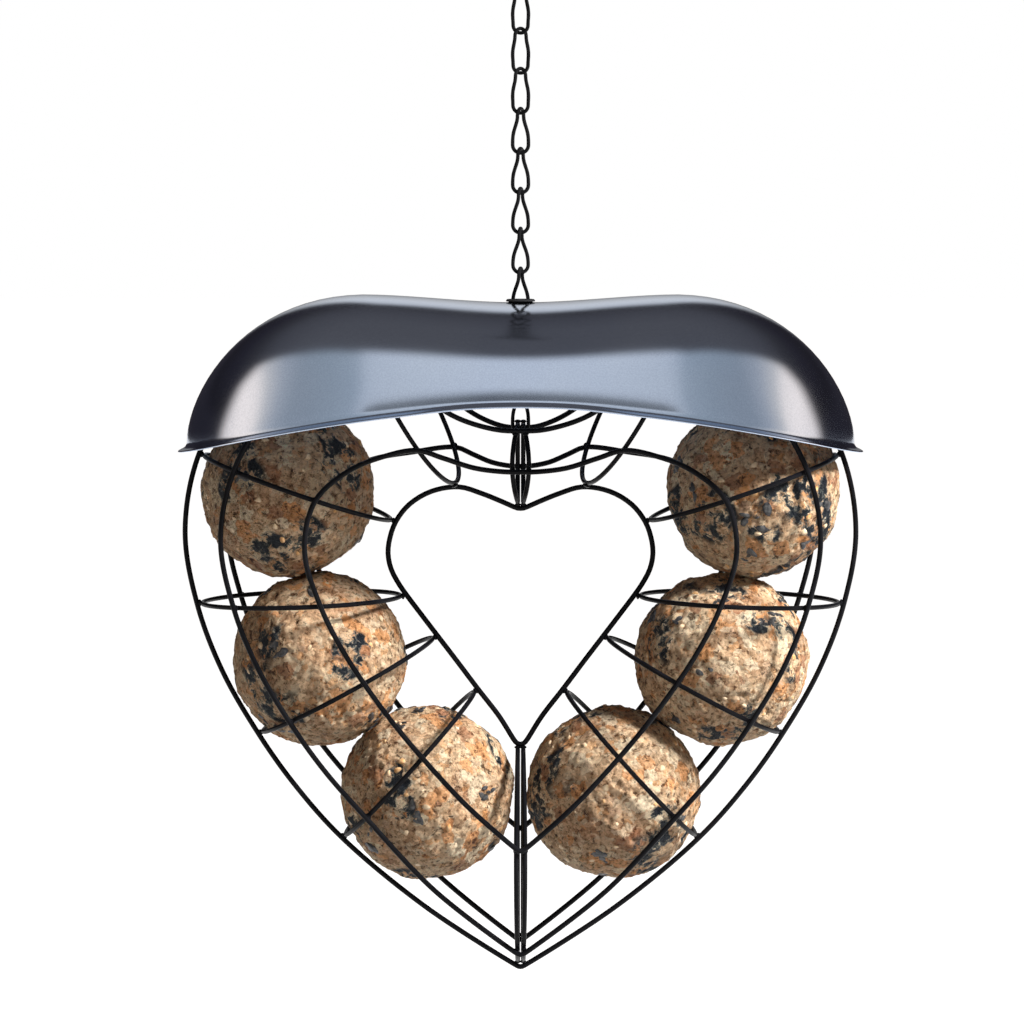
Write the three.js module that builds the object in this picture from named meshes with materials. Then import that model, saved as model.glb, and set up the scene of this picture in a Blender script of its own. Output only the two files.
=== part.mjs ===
// Hanging bird feeder: a heart of welded wire holding fat balls, under a pressed roof, on a twisted chain.
// Millimetres, +Z up, +X to the right seen from the front, the front faces -Y.
// The origin is where the hook bears on what carries it; the sizes below are given from the heart's tip.
import * as THREE from 'three';

// Wires, and the play left between pieces that touch
const heartWireRadius = 1.05;
const ringWireRadius = 0.95;
const weldGap = 0.3;
const wireSides = 6;
const wireStep = 12;
const ringSideSteps = [3, 3, 4];

// Fat balls and the wire tube round them
const ballDiameter = 69.6;
const ballPlay = 4.2;
const ballDetail = 3;
const ballsPerSide = 3;
const ballNestShare = 0.9895;
const ballHalvings = 40;

// Heart-shaped window in the middle of the cage
const windowHalfWidth = 53;
const windowHeight = 103.6;
const windowTipRadius = 2.5;
const windowCuspRadius = 7;

// The tube is wider at the heart's tip, and pinched into a small ring at its cusp
const tipAcrossShare = 1.08;
const tipRingLift = 0.9;
const tipRingDepthRadius = 37;
const outerTipRadius = 2.5;
const sideTipClearance = 1.2;
const cuspRingRadius = 15.6;
const cuspRingLift = 0.3;
const tipRingBow = 0.65;
const cuspRingBow = 2.2;
const mouthRingTilt = 10;
const mouthWireOverrun = 3;
const mouthSideLift = 1.6;
const waistRingSlack = 0.2;

// Where the side wires run round a ring, in degrees from the ring's outer end
const outerSideAngle = 52;
const innerSideAngle = 102;
const mouthInnerSideTurn = 23;
const mouthInnerSideSkew = 8;
const cuspOuterSideAngle = 41;
const cuspInnerSideAngle = 98;
const tipOuterSideAngle = 35;
const tipInnerSideAngle = 98;

// Chain
const linkCount = 11;
const linkWireRadius = 0.75;
const linkWidth = 7.8;
const linkLength = 19.2;
const linkTwistDegrees = 65;
const linkTurnDegrees = [-20, -20, -15, 2, 5, 10, 15, 12, 8, 4, 0];
const linkSides = 5;
const linkBendSteps = 5;
const linkShankSteps = 5;

// Hook
const hookWireRadius = 1.25;
const hookEyeRadius = 4.5;
const hookTopRadius = 9;
const hookShankRise = 12;
const hookEyeEndDegrees = 70;
const hookTipEndDegrees = 225;
const hookArcStepDegrees = 25;
const hookTurnDegrees = -30;

// Roof
const roofThickness = 1;
const roofHalfLength = 133.5;
const roofRidgeHalfLength = 60;
const roofHalfDepth = 60;
const roofRidgeRise = 1.6;
const roofHumpRise = 3.2;
const roofHumpPlaceShare = 1.117;
const roofEndDrop = 59;
const roofRimArch = 20;
const roofRimArchPower = 1.9;
const roofFullnessPower = 2.2;
const roofShoulderPower = 1.7;
const lipOut = 3.5;
const lipDrop = 3;
const lipWaistOutShare = 0.25;
const lipWaistDropShare = 0.5;
const lipThroatDropShare = 1.6;
const roofSideSteps = 8;
const roofEndSteps = 12;
const roofRadialSteps = 7;

// Grommet in the roof's hole
const grommetPlay = 0.35;
const grommetTopGap = 0.45;
const grommetWall = 0.6;
const grommetFlangeWidth = 0.7;
const grommetFlangeHeight = 0.9;
const grommetSteps = 20;

// Derived sizes
const weldPitch = heartWireRadius + ringWireRadius + weldGap;
const ballRadius = ballDiameter / 2;
const tubeAcross = ballDiameter + 2 * (ballPlay + ringWireRadius + heartWireRadius) + 2 * weldGap * 2;
const tipAcross = tubeAcross * tipAcrossShare;
const windowTipHeight = tipAcross;

const toRadians = THREE.MathUtils.degToRad;
const at = (x, z, y = 0) => new THREE.Vector3(x, y, z);
const depth = new THREE.Vector3(0, 1, 0);
const mirrored = (p) => at(-p.x, p.z, p.y);

// Closed mesh from rings of points: each ring joins the next, and the ends are closed or meet
function skin(rings, closed) {
    const sides = rings[0].length;
    const positions = rings.flat().flatMap((p) => [p.x, p.y, p.z]);
    const faces = [];
    const spans = closed ? rings.length : rings.length - 1;
    for (let i = 0; i < spans; i += 1) {
        const here = i * sides;
        const next = ((i + 1) % rings.length) * sides;
        for (let j = 0; j < sides; j += 1) {
            const k = (j + 1) % sides;
            faces.push(here + j, here + k, next + k, here + j, next + k, next + j);
        }
    }
    if (!closed) {
        const last = (rings.length - 1) * sides;
        for (let j = 1; j < sides - 1; j += 1) {
            faces.push(0, j + 1, j, last, last + j, last + j + 1);
        }
    }
    const geometry = new THREE.BufferGeometry();
    geometry.setAttribute('position', new THREE.Float32BufferAttribute(positions, 3));
    geometry.setIndex(faces);
    geometry.computeVertexNormals();
    return geometry;
}

// Round wire swept along points; faceOf(i) is the normal of the plane that the wire bends in
function wire(points, radius, sides, closed, faceOf) {
    const count = points.length;
    const rings = points.map((p, i) => {
        const before = closed ? points[(i + count - 1) % count] : points[Math.max(i - 1, 0)];
        const after = closed ? points[(i + 1) % count] : points[Math.min(i + 1, count - 1)];
        const into = p.clone().sub(before).normalize();
        const out = after.clone().sub(p).normalize();
        const tangent = into.clone().add(out).normalize();
        const across = faceOf(i).clone().cross(tangent).normalize();
        const up = tangent.clone().cross(across);
        const stretch = 1 / Math.max(tangent.dot(out), tangent.dot(into));
        return Array.from({ length: sides }, (_, j) => {
            const turn = (j / sides) * 2 * Math.PI;
            return p
                .clone()
                .addScaledVector(across, Math.cos(turn) * radius * stretch)
                .addScaledVector(up, Math.sin(turn) * radius);
        });
    });
    return skin(rings, closed);
}

// Points along a smooth curve that passes through every guide point, with steps of about one length
function smooth(guides, closed, step) {
    const curve = new THREE.CatmullRomCurve3(guides, closed, 'centripetal');
    const spans = closed ? guides.length : guides.length - 1;
    const points = [];
    for (let i = 0; i < spans; i += 1) {
        const reach = guides[i].distanceTo(guides[(i + 1) % guides.length]);
        const steps = Math.max(1, Math.round(reach / step));
        for (let j = 0; j < steps; j += 1) {
            points.push(curve.getPoint((i + j / steps) / spans));
        }
    }
    if (!closed) {
        points.push(guides[guides.length - 1].clone());
    }
    return points;
}

// Two points that round a downward corner on the centre plane, on its left side
function cornerPoints(corner, next, radius) {
    const slope = Math.atan2(next.z - corner.z, corner.x - next.x);
    return [0.5, 1].map((share) =>
        at(-radius * Math.sin(slope * share), corner.z + radius * (1 - Math.cos(slope * share)), corner.y),
    );
}

// Stations down the left half: the window wire's point as shares of the window, the direction across the
// tube in degrees below the horizontal, the tube's width as a share, whether a ring stands there, and how far
// the inner side wires have turned towards the window, as a share of their turn at the mouth
const stationShares = [
    { name: 'mouth_ring', x: 0.464, z: 0.998, down: -61.4, across: 1, ring: true, liftShare: 1, turnShare: 1, tiltShare: 1 },
    { x: 0.672, z: 0.981, down: -50, across: 1, turnShare: 0.86, tiltShare: 0.5 },
    { x: 0.838, z: 0.931, down: -37, across: 1, turnShare: 0.46, tiltShare: 0.2 },
    { name: 'ring_1', x: 0.94, z: 0.865, down: -19.1, across: 1, ring: true },
    { x: 1, z: 0.741, down: -6.5, across: 0.982 },
    { name: 'ring_2', x: 0.857, z: 0.577, down: 2, across: 1.012, ring: true, slackShare: 1 },
    { x: 0.742, z: 0.499, down: 15.2, across: 1 },
    { name: 'ring_3', x: 0.626, z: 0.421, down: 28.6, across: 0.985, ring: true },
    { x: 0.474, z: 0.319, down: 37.2, across: 0.985 },
    { name: 'ring_4', x: 0.323, z: 0.216, down: 47.8, across: 0.975, ring: true },
    { x: 0.16, z: 0.108, down: 69, across: 0.99, tipShare: 0.55 },
];
// Points that the window wire alone has between stations, by the station that they follow
const windowExtraShares = [
    { after: 3, x: 0.985, z: 0.803 },
    { after: 4, x: 0.977, z: 0.68 },
    { after: 4, x: 0.913, z: 0.618 },
];
const windowCuspShares = [
    { x: 0, z: 0.915 },
    { x: 0.143, z: 0.942 },
    { x: 0.294, z: 0.973 },
];
const sideWireDipShares = [
    { x: 0.16, z: 0.02, y: 0.1 },
    { x: 0.44, z: 0.2, y: 0.36 },
    { x: 0.74, z: 0.64, y: 0.7 },
];

const windowPoint = (share) => at(-share.x * windowHalfWidth, windowTipHeight + share.z * windowHeight);

const stations = stationShares.map((share) => {
    const inner = windowPoint(share);
    const turn = toRadians(share.down);
    const outward = at(-Math.cos(turn), -Math.sin(turn));
    const half = (tubeAcross * share.across) / 2;
    const along = depth.clone().cross(outward);
    const tilt = toRadians(mouthRingTilt * (share.tiltShare ?? 0));
    return {
        ...share,
        inner,
        outward,
        along,
        deep: depth.clone().multiplyScalar(Math.cos(tilt)).addScaledVector(along, Math.sin(tilt)),
        half,
        centre: inner.clone().addScaledVector(outward, half),
        outer: inner.clone().addScaledVector(outward, 2 * half),
    };
});

// A point of the tube's wall at one station, at an angle from its outer end, towards the front or the back
function wallPoint(station, degrees, side, lift) {
    const turn = toRadians(degrees);
    const reach = station.half + lift * (station.liftShare ?? 0);
    return station.centre
        .clone()
        .addScaledVector(station.outward, reach * Math.cos(turn))
        .addScaledVector(station.deep, side * reach * Math.sin(turn));
}

// The oval ring at the tip and the small ring at the cusp stand on the centre plane
const tip = { bottom: weldPitch + tipRingLift, top: windowTipHeight - weldPitch };
tip.centre = (tip.bottom + tip.top) / 2;
tip.half = (tip.top - tip.bottom) / 2;
const windowCusp = windowPoint(windowCuspShares[0]);
const cusp = { centre: windowCusp.z + weldPitch + cuspRingLift + cuspRingRadius };

function tipPoint(degrees, side, clearance) {
    const turn = toRadians(degrees);
    return at(
        0,
        tip.centre - (tip.half + weldPitch + clearance) * Math.cos(turn),
        side * (tipRingDepthRadius + weldPitch) * Math.sin(turn),
    );
}

function cuspPoint(degrees, side) {
    const turn = toRadians(degrees);
    const reach = cuspRingRadius + weldPitch;
    return at(0, cusp.centre + reach * Math.cos(turn), side * reach * Math.sin(turn));
}

// Left half guides, from the cusp down to the tip, closed by their mirror image
function closedByMirror(leftGuides) {
    const right = leftGuides.slice(1, -1).reverse().map(mirrored);
    return [...leftGuides, ...right];
}

function windowWirePoints() {
    const guides = windowCuspShares.map(windowPoint);
    const cuspRound = cornerPoints(guides[0], guides[1], windowCuspRadius);
    guides.splice(1, 0, cuspRound[0]);
    stations.forEach((station, i) => {
        guides.push(station.inner);
        windowExtraShares.filter((extra) => extra.after === i).forEach((extra) => guides.push(windowPoint(extra)));
    });
    const corner = at(0, windowTipHeight);
    guides.push(...cornerPoints(corner, guides[guides.length - 1], windowTipRadius).reverse(), corner);
    return smooth(closedByMirror(guides), true, wireStep);
}

function outerWirePoints() {
    const left = stations.map((station) => station.outer);
    left.unshift(stations[0].outer.clone().addScaledVector(stations[0].along, mouthWireOverrun));
    const corner = at(0, 0);
    left.push(...cornerPoints(corner, left[left.length - 1], outerTipRadius).reverse());
    const right = left.slice().reverse().map(mirrored);
    return smooth([...left, corner, ...right], false, wireStep);
}

// A side wire: it dips to the cusp ring, runs round the tube's wall, and ends in a corner at the tip ring
function sideWirePoints(side, wallAngle, mouthTurn, cuspAngle, tipAngle, tipClearance, mouthLift) {
    const top = cuspPoint(cuspAngle, side);
    const bottom = tipPoint(tipAngle, side, tipClearance);
    const wall = stations.map((station) => {
        const turned = wallAngle + mouthTurn * (station.turnShare ?? 0);
        return wallPoint(station, THREE.MathUtils.lerp(turned, tipAngle, station.tipShare ?? 0), side, mouthLift);
    });
    const dips = sideWireDipShares.map((share) =>
        at(share.x * wall[0].x, top.z + (wall[0].z - top.z) * share.z, top.y + (wall[0].y - top.y) * share.y),
    );
    const round = cornerPoints(bottom, wall[wall.length - 1], outerTipRadius).reverse();
    return smooth(closedByMirror([top, ...dips, ...wall, ...round, bottom]), true, wireStep);
}

// Angles of a round or oval ring, with a corner at each wire that is welded to it. The inner side wires may be
// skewed, with the one at the back nearer the ring's inner end than the one at the front.
function ringAngles(outerSide, innerSide, skew = 0) {
    const [back, front] = [innerSide + skew, innerSide - skew].map((inner) => {
        const stops = [0, outerSide, inner, 180];
        return ringSideSteps.flatMap((steps, i) =>
            Array.from({ length: steps }, (_, j) => THREE.MathUtils.lerp(stops[i], stops[i + 1], j / steps)),
        );
    });
    return [...back, 180, ...front.slice(1).reverse().map((degrees) => 360 - degrees)];
}

// A ring in the plane of its outward and deep directions; bow bends its front side sideways
function ringWire(centre, outward, deep, half, depthHalf, angles, bow = 0) {
    const face = outward.clone().cross(deep).normalize();
    const points = angles.map((degrees) => {
        const turn = toRadians(degrees);
        return centre
            .clone()
            .addScaledVector(outward, half * Math.cos(turn))
            .addScaledVector(deep, depthHalf * Math.sin(turn))
            .addScaledVector(at(1, 0), bow * Math.min(Math.sin(turn), 0) ** 2);
    });
    return wire(points, ringWireRadius, wireSides, true, () => face);
}

// Chain link: straight shanks and round bends, twisted between its two ends
function linkPoints() {
    const bend = linkWidth / 2 - linkWireRadius;
    const half = linkLength / 2 - linkWireRadius;
    const shank = half - bend;
    const flat = [];
    for (let i = 0; i <= linkBendSteps; i += 1) {
        const turn = Math.PI * (i / linkBendSteps);
        flat.push([bend * Math.cos(turn), shank + bend * Math.sin(turn)]);
    }
    for (let i = 1; i < linkShankSteps; i += 1) {
        flat.push([-bend, shank * (1 - (2 * i) / linkShankSteps)]);
    }
    const whole = [...flat, ...flat.map(([x, z]) => [-x, -z])];
    return whole.map(([x, z]) => {
        const share = THREE.MathUtils.clamp((z + shank) / (2 * shank), 0, 1);
        const turn = toRadians(linkTwistDegrees * THREE.MathUtils.smoothstep(share, 0, 1));
        return { point: at(x * Math.cos(turn), z, x * Math.sin(turn)), face: at(-Math.sin(turn), 0, Math.cos(turn)) };
    });
}

function linkGeometry() {
    const along = linkPoints();
    return wire(along.map((p) => p.point), linkWireRadius, linkSides, true, (i) => along[i].face);
}

// S-shaped hook from the eye that holds the chain to the open top that hangs on a branch
function arcPoints(centre, radius, from, to) {
    const steps = Math.ceil(Math.abs(to - from) / hookArcStepDegrees);
    return Array.from({ length: steps + 1 }, (_, i) => {
        const turn = toRadians(THREE.MathUtils.lerp(from, to, i / steps));
        return at(centre.x + radius * Math.cos(turn), centre.z + radius * Math.sin(turn));
    });
}

// Roof surface: height over the plan, from a ridge with two humps to a rim that arches in the middle
function roofSurface(x, y, inset) {
    const past = Math.max(Math.abs(x) - roofRidgeHalfLength, 0);
    const endRadius = roofHalfLength - roofRidgeHalfLength - inset;
    const share = Math.min(Math.hypot(past / endRadius, y / (roofHalfDepth - inset)), 1);
    const rimPlace = share > 0 ? Math.abs(x) - past + past / share : Math.abs(x);
    const humpPlace = roofRidgeHalfLength * roofHumpPlaceShare;
    const dip = 0.5 + 0.5 * Math.cos(Math.PI * Math.min(Math.abs(x) / humpPlace, 1));
    const ridge = roofTop - roofHumpRise * dip - inset;
    const rim = roofTop - roofEndDrop + roofRimArch * (1 - (rimPlace / roofHalfLength) ** roofRimArchPower);
    const fall = 1 - (1 - share ** roofFullnessPower) ** (1 / roofShoulderPower);
    return THREE.MathUtils.lerp(ridge, rim, fall);
}

// Directions from the roof's ridge to its rim, anticlockwise from the right-hand end of the front side
function roofRimShares() {
    const shares = [];
    const quarter = Math.PI / 2;
    for (let i = 0; i < roofEndSteps; i += 1) {
        shares.push({ spine: 1, turn: -quarter + (i / roofEndSteps) * Math.PI });
    }
    for (let i = 0; i < roofSideSteps; i += 1) {
        shares.push({ spine: 1 - (2 * i) / roofSideSteps, turn: quarter });
    }
    for (let i = 0; i < roofEndSteps; i += 1) {
        shares.push({ spine: -1, turn: quarter + (i / roofEndSteps) * Math.PI });
    }
    for (let i = 0; i < roofSideSteps; i += 1) {
        shares.push({ spine: -1 + (2 * i) / roofSideSteps, turn: -quarter });
    }
    return shares;
}

function roofGeometry() {
    const rows = roofRimShares().map(({ spine, turn }) => {
        const row = [];
        const side = (inset) => {
            const rimX = spine * roofRidgeHalfLength
                + (roofHalfLength - roofRidgeHalfLength - inset) * Math.cos(turn);
            const rimY = (roofHalfDepth - inset) * Math.sin(turn);
            const bearing = Math.atan2(rimY, rimX);
            const points = [];
            for (let k = 0; k <= roofRadialSteps; k += 1) {
                const share = Math.sin((Math.PI / 2) * (k / roofRadialSteps));
                const x = THREE.MathUtils.lerp(roofHoleRadius * Math.cos(bearing), rimX, share);
                const y = THREE.MathUtils.lerp(roofHoleRadius * Math.sin(bearing), rimY, share);
                points.push(at(x, roofSurface(x, y, inset), y));
            }
            return points;
        };
        const lip = (outShare, dropShare, drop) => {
            const rim = row[roofRadialSteps];
            const out = at(Math.cos(turn), 0, Math.sin(turn));
            return rim.clone().addScaledVector(out, lipOut * outShare).add(at(0, -lipDrop * dropShare - drop));
        };
        row.push(...side(0));
        row.push(lip(lipWaistOutShare, lipWaistDropShare, 0), lip(1, 1, 0), lip(1, 1, roofThickness));
        row.push(lip(lipWaistOutShare, lipWaistDropShare, roofThickness * lipThroatDropShare));
        const inner = side(roofThickness).reverse();
        row.push(...inner);
        return row;
    });
    return skin(rows, true);
}

function grommetGeometry(top, sheetBottom) {
    const bore = roofHoleRadius - grommetWall - weldGap;
    const neck = roofHoleRadius - weldGap;
    const flange = roofHoleRadius + grommetFlangeWidth;
    const above = top + grommetTopGap;
    const below = sheetBottom - weldGap;
    const profile = [
        [bore, below - grommetFlangeHeight],
        [flange, below - grommetFlangeHeight],
        [flange, below],
        [neck, below],
        [neck, above],
        [flange, above],
        [flange - grommetFlangeHeight / 2, above + grommetFlangeHeight],
        [bore, above + grommetFlangeHeight],
        [bore, below - grommetFlangeHeight],
    ];
    const geometry = new THREE.LatheGeometry(
        profile.map(([r, z]) => new THREE.Vector2(r, z)),
        grommetSteps,
    );
    return geometry.rotateX(Math.PI / 2);
}

// Places up the chain, from the small rings that the last link holds to the hook's bearing point
const linkBend = linkWidth / 2 - linkWireRadius;
const linkPitch = linkLength - 2 * (2 * linkWireRadius) - weldGap;
const lastLinkBottom = cusp.centre + cuspRingRadius - linkBend;
const linkCentre = (i) => lastLinkBottom + (linkCount - 1 - i) * linkPitch + linkLength / 2 - linkWireRadius;
const firstLinkTop = linkCentre(0) + linkLength / 2 - linkWireRadius;
const hookBottom = firstLinkTop - linkWireRadius - hookWireRadius - weldGap;
const hookEye = at(0, hookBottom + hookEyeRadius);
const hookTop = at(0, hookEye.z + hookEyeRadius + hookShankRise + hookTopRadius);
const hookBearing = hookTop.z + hookTopRadius - hookWireRadius;

// The roof rests on the ends of the outer wire, over the mouths
const roofTop = stations[0].outer.z + heartWireRadius + weldGap + roofThickness + roofRidgeRise;
const roofHoleRadius = linkWidth / 2 + grommetPlay + grommetWall + weldGap;

const blackWire = new THREE.MeshStandardMaterial({ color: 0x15151a, roughness: 0.35, metalness: 0.4 });
const blackChain = new THREE.MeshStandardMaterial({ color: 0x111114, roughness: 0.4, metalness: 0.5 });
const pewterPaint = new THREE.MeshStandardMaterial({ color: 0x6f7688, roughness: 0.25, metalness: 0.8 });
const blackRubber = new THREE.MeshStandardMaterial({ color: 0x0c0c0d, roughness: 0.7, metalness: 0 });
const suet = new THREE.MeshStandardMaterial({ color: 0xa98463, roughness: 0.9, metalness: 0 });

const feeder = new THREE.Group();

function addPiece(name, geometry, material, place) {
    const mesh = new THREE.Mesh(geometry, material);
    mesh.name = name;
    if (place) {
        mesh.position.copy(place);
    }
    feeder.add(mesh);
    return mesh;
}

function addHeartWire(name, points, closed) {
    addPiece(name, wire(points, heartWireRadius, wireSides, closed, () => depth), blackWire);
}

function addHeartWires() {
    addHeartWire('outer_heart_wire', outerWirePoints(), false);
    addHeartWire('window_heart_wire', windowWirePoints(), true);
    for (const [face, side] of [['front', -1], ['back', 1]]) {
        addHeartWire(
            `${face}_outer_side_wire`,
            sideWirePoints(
                side,
                outerSideAngle,
                0,
                cuspOuterSideAngle,
                tipOuterSideAngle,
                sideTipClearance,
                mouthSideLift,
            ),
            true,
        );
        addHeartWire(
            `${face}_inner_side_wire`,
            sideWirePoints(
                side,
                innerSideAngle,
                mouthInnerSideTurn + side * mouthInnerSideSkew,
                cuspInnerSideAngle,
                tipInnerSideAngle,
                0,
                0,
            ),
            true,
        );
    }
}

function addRings() {
    const tipAngles = ringAngles(tipOuterSideAngle, tipInnerSideAngle);
    const cuspAngles = ringAngles(cuspOuterSideAngle, cuspInnerSideAngle);
    const ringPitch = ringWireRadius + weldGap / 2;
    for (const [hand, sign] of [['left', -1], ['right', 1]]) {
        for (const station of stations.filter((s) => s.ring)) {
            const slack = waistRingSlack * (station.slackShare ?? 0);
            const place = station.centre.clone().addScaledVector(station.outward, slack);
            const centre = sign < 0 ? place : mirrored(place);
            const outward = sign < 0 ? station.outward : mirrored(station.outward);
            const deep = sign < 0 ? station.deep : mirrored(station.deep);
            const radius = station.half - weldPitch - slack;
            const turnShare = station.turnShare ?? 0;
            const angles = ringAngles(
                outerSideAngle,
                innerSideAngle + mouthInnerSideTurn * turnShare,
                mouthInnerSideSkew * turnShare,
            );
            addPiece(
                `${hand}_${station.name}`,
                ringWire(centre, outward, deep, radius, radius, angles),
                blackWire,
            );
        }
        const down = at(0, -1);
        const up = at(0, 1);
        addPiece(
            `${hand}_tip_ring`,
            ringWire(
                at(sign * ringPitch, tip.centre),
                down,
                depth,
                tip.half,
                tipRingDepthRadius,
                tipAngles,
                sign * tipRingBow,
            ),
            blackWire,
        );
        addPiece(
            `${hand}_cusp_ring`,
            ringWire(
                at(sign * ringPitch, cusp.centre),
                up,
                depth,
                cuspRingRadius,
                cuspRingRadius,
                cuspAngles,
                sign * cuspRingBow,
            ),
            blackWire,
        );
    }
}

// The largest value from zero up to a limit at which a test still holds, found by halving
function largestThatHolds(limit, holds) {
    let [low, high] = [0, limit];
    for (let i = 0; i < ballHalvings; i += 1) {
        const middle = (low + high) / 2;
        if (holds(middle)) {
            low = middle;
        } else {
            high = middle;
        }
    }
    return low;
}

function ballClearsWires(centre) {
    return stations.every((station, i) => {
        const next = stations[i + 1]?.outer ?? at(0, 0);
        const nearest = new THREE.Line3(station.outer, next).closestPointToPoint(centre, true, at(0, 0));
        const ends = [-1, 1].map((end) =>
            station.centre.clone().addScaledVector(station.outward, end * (station.half - weldPitch)),
        );
        const clearsRing = ends.every((end) => end.distanceTo(centre) > ballRadius + ringWireRadius + weldGap);
        return nearest.distanceTo(centre) > ballRadius + heartWireRadius + weldGap && (!station.ring || clearsRing);
    });
}

// A ball's centre at a place along the stations: it rests outward in the tube, on a ring or the outer wire
function ballCentre(place) {
    const i = Math.min(Math.floor(place), stations.length - 2);
    const centre = stations[i].centre.clone().lerp(stations[i + 1].centre, place - i);
    const outward = stations[i].outward.clone().lerp(stations[i + 1].outward, place - i).normalize();
    const rest = largestThatHolds(ballRadius, (out) => ballClearsWires(centre.clone().addScaledVector(outward, out)));
    return centre.addScaledVector(outward, rest);
}

// The balls from the lowest up: the first clears the tip rings, and each next one nests on the one below
function ballCentres() {
    const centres = [];
    let place = stations.length - 1;
    for (let i = 0; i < ballsPerSide; i += 1) {
        const below = centres[i - 1];
        const clears = (centre) => (below
            ? centre.distanceTo(below) > ballDiameter * ballNestShare
            : -centre.x > ballRadius + 2 * (ringWireRadius + weldGap));
        place = largestThatHolds(place, (middle) => clears(ballCentre(middle)));
        centres.push(ballCentre(place));
    }
    return centres;
}

function addBalls() {
    const centres = ballCentres();
    for (const [hand, sign] of [['left', -1], ['right', 1]]) {
        centres.forEach((centre, i) => {
            const ball = new THREE.IcosahedronGeometry(ballRadius, ballDetail);
            addPiece(`${hand}_fat_ball_${i + 1}`, ball, suet, sign < 0 ? centre : mirrored(centre));
        });
    }
}

function addRoof() {
    addPiece('roof', roofGeometry(), pewterPaint);
    const hole = roofSurface(0, 0, 0);
    addPiece('roof_grommet', grommetGeometry(hole, hole - roofThickness - weldGap), blackRubber);
}

function addChain() {
    for (let i = 0; i < linkCount; i += 1) {
        const name = `chain_link_${String(i + 1).padStart(2, '0')}`;
        const link = addPiece(name, linkGeometry(), blackChain, at(0, linkCentre(i)));
        link.rotation.z = toRadians(linkTurnDegrees[i]);
    }
}

function addHook() {
    const crossing = THREE.MathUtils.radToDeg(Math.asin((hookEyeRadius + hookTopRadius) / (hookTop.z - hookEye.z)));
    const points = [
        ...arcPoints(hookEye, hookEyeRadius, hookEyeEndDegrees, -180 - crossing),
        ...arcPoints(hookTop, hookTopRadius, -crossing, hookTipEndDegrees),
    ];
    const hook = addPiece('hanging_hook', wire(points, hookWireRadius, wireSides, false, () => depth), blackChain);
    hook.rotation.z = toRadians(hookTurnDegrees);
}

addHook();
addChain();
addRoof();
addHeartWires();
addRings();
addBalls();

feeder.children.forEach((mesh) => {
    mesh.position.z -= hookBearing;
});

export default feeder;
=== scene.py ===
# Hanging bird feeder: the wires, chain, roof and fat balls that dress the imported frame.
# Lengths are in millimetres from the tip of the heart, as in the part's source, and wires are given by their
# radius. x goes to the right, y to the back and z up. to_metres takes them to the frame's metres. What is in
# the frame's own metres, such as texture scales, seeds, lamps and the camera, says so.
import math
import random

import bmesh
import bpy
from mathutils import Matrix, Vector, noise


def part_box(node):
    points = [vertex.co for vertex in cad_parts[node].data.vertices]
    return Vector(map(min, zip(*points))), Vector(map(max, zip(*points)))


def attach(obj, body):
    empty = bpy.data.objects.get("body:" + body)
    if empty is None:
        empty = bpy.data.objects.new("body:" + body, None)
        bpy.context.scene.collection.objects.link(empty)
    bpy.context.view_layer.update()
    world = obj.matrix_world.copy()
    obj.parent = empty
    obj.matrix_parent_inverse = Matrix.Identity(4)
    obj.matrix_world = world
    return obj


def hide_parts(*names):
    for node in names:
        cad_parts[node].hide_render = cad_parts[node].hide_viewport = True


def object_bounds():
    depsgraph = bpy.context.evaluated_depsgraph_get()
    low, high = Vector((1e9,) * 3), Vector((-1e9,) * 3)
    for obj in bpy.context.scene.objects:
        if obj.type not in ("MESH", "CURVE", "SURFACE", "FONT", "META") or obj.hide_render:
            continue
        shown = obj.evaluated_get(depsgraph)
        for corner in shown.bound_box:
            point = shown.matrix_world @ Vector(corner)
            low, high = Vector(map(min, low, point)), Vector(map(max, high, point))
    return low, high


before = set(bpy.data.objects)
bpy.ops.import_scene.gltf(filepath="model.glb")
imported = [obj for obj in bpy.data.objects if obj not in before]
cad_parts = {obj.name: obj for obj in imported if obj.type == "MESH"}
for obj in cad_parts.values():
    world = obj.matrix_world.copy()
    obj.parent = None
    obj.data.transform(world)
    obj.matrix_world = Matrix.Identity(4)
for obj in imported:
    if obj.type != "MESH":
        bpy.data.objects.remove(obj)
cad_box = [list(corner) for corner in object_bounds()]
scene = bpy.context.scene
# noise_vector starts from the clock unless it is given a seed
noise.seed_set(1)

# ---------------------------------------------------------------- sizes, as in the part's source

MM = 0.001
HEART_WIRE = 1.05
RING_WIRE = 0.95
WELD_GAP = 0.3
WELD_PITCH = HEART_WIRE + RING_WIRE + WELD_GAP
BALL_RADIUS = 34.8
BALL_PLAY = 4.2
TUBE_ACROSS = 2 * BALL_RADIUS + 2 * (BALL_PLAY + RING_WIRE + HEART_WIRE) + 4 * WELD_GAP

WINDOW_HALF_WIDTH = 53.0
WINDOW_HEIGHT = 103.6
TIP_ACROSS_SHARE = 1.08
WINDOW_TIP = TUBE_ACROSS * TIP_ACROSS_SHARE
WINDOW_CUSP_RADIUS = 7.0
TIP_CORNER = 2.5
TIP_RING_LIFT = 0.9
TIP_RING_DEPTH = 37.0
TIP_RING_BOW = 0.65
CUSP_RING = 15.6
CUSP_LIFT = 0.3
CUSP_RING_BOW = 2.2
SIDE_TIP_CLEARANCE = 1.2
MOUTH_RING_TILT = 10.0
MOUTH_OVERRUN = 3.0
MOUTH_SIDE_LIFT = 1.6
WAIST_RING_SLACK = 0.2

# Where the side wires lie round the tube, in degrees from its outer side
OUTER_SIDE, INNER_SIDE = 52.0, 102.0
MOUTH_INNER_TURN = 23.0
MOUTH_INNER_SKEW = 8.0
CUSP_OUTER_SIDE, CUSP_INNER_SIDE = 41.0, 98.0
TIP_OUTER_SIDE, TIP_INNER_SIDE = 35.0, 98.0

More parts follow.
